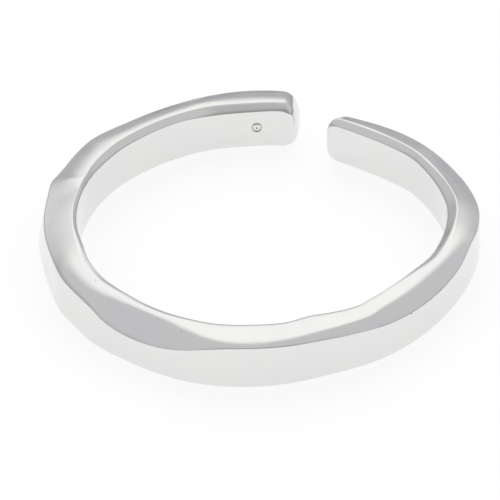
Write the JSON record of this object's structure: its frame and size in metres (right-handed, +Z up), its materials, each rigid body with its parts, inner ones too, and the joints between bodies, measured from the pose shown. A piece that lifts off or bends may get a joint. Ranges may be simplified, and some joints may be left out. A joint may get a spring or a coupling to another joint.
{
  "type": "adjustable ring",
  "caption": "Open finger ring bent from one narrow hammered band of polished silver, with a small gap between its rounded ends so that it can be opened or closed a little.",
  "frame": {"origin": "on the plane that the ring lies on, at the middle of its bore", "axes": "+Z up along the finger hole, +Y towards the gap between the two ends"},
  "size_m": [0.0209, 0.0203, 0.0025],
  "materials": {
    "polished_silver": "polished, softly hammered"
  },
  "bodies": {
    "root": {"band": "polished_silver"}
  },
  "joints": []
}
